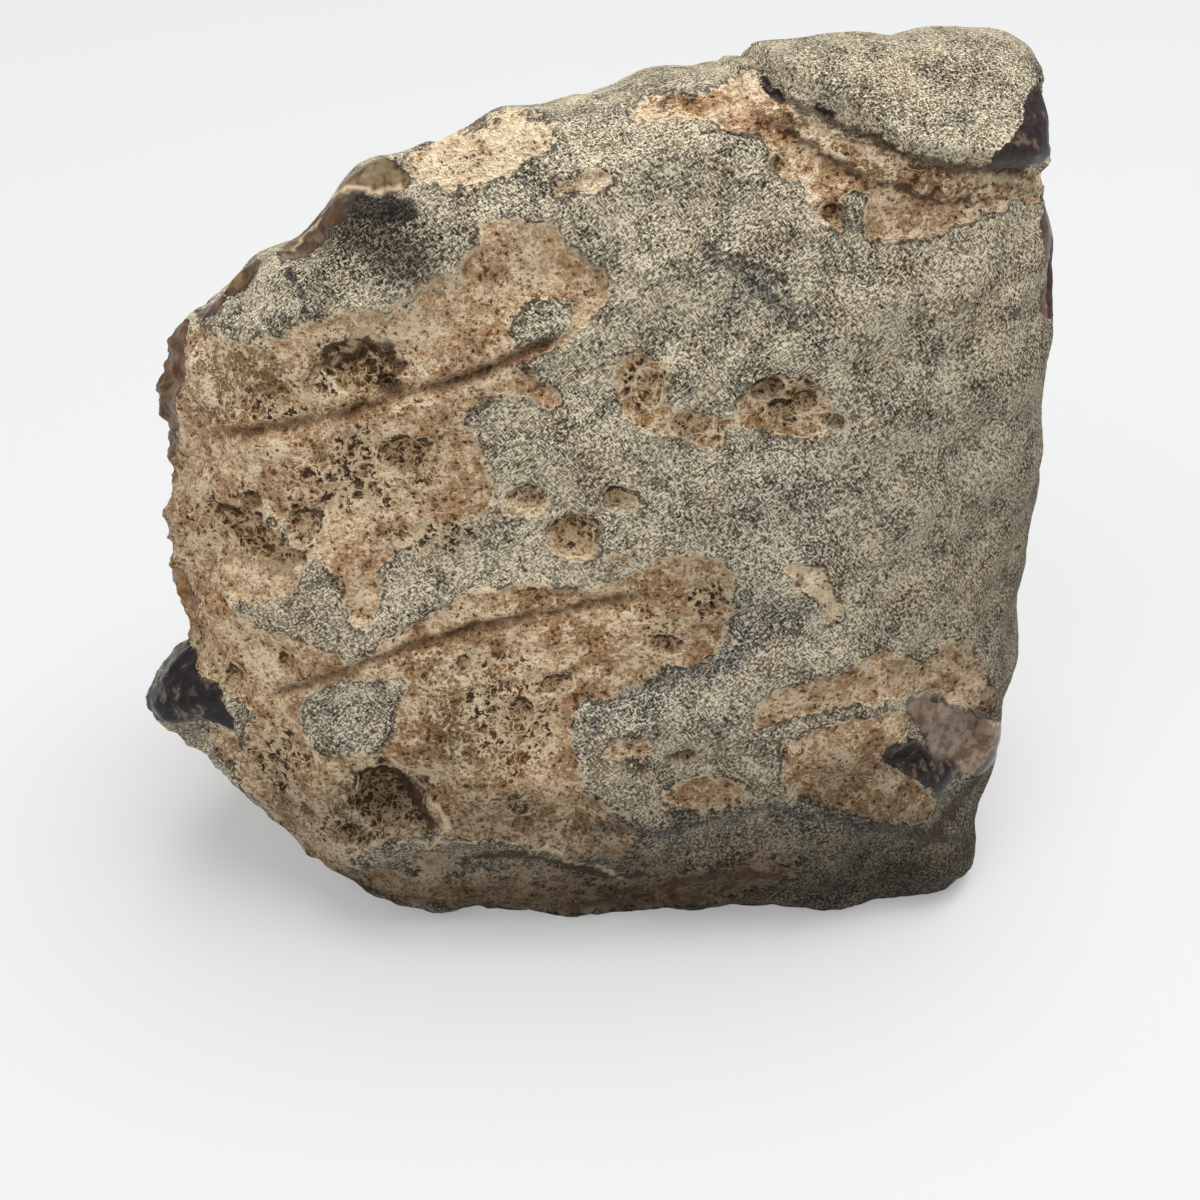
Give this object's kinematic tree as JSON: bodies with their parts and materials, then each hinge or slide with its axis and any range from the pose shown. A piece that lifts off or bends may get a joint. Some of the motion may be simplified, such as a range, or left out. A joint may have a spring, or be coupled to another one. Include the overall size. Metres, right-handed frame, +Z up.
{
  "type": "agate nodule half",
  "caption": "Rough agate nodule half standing on its edge: granular grey-green rind with tan patches, pits, blade grooves and chipped dark rims; flat cut back.",
  "frame": {"origin": "middle of the plan, on the ground under the flat foot", "axes": "+X to the right seen from the rind side, +Y away from that viewer towards the flat cut face, +Z up"},
  "size_m": [0.0756, 0.0347, 0.0744],
  "materials": {
    "stone": "rough granular rind, matt, with tan patches; polished dark cut face behind"
  },
  "bodies": {
    "root": {"agate_stone": "stone"}
  },
  "joints": []
}
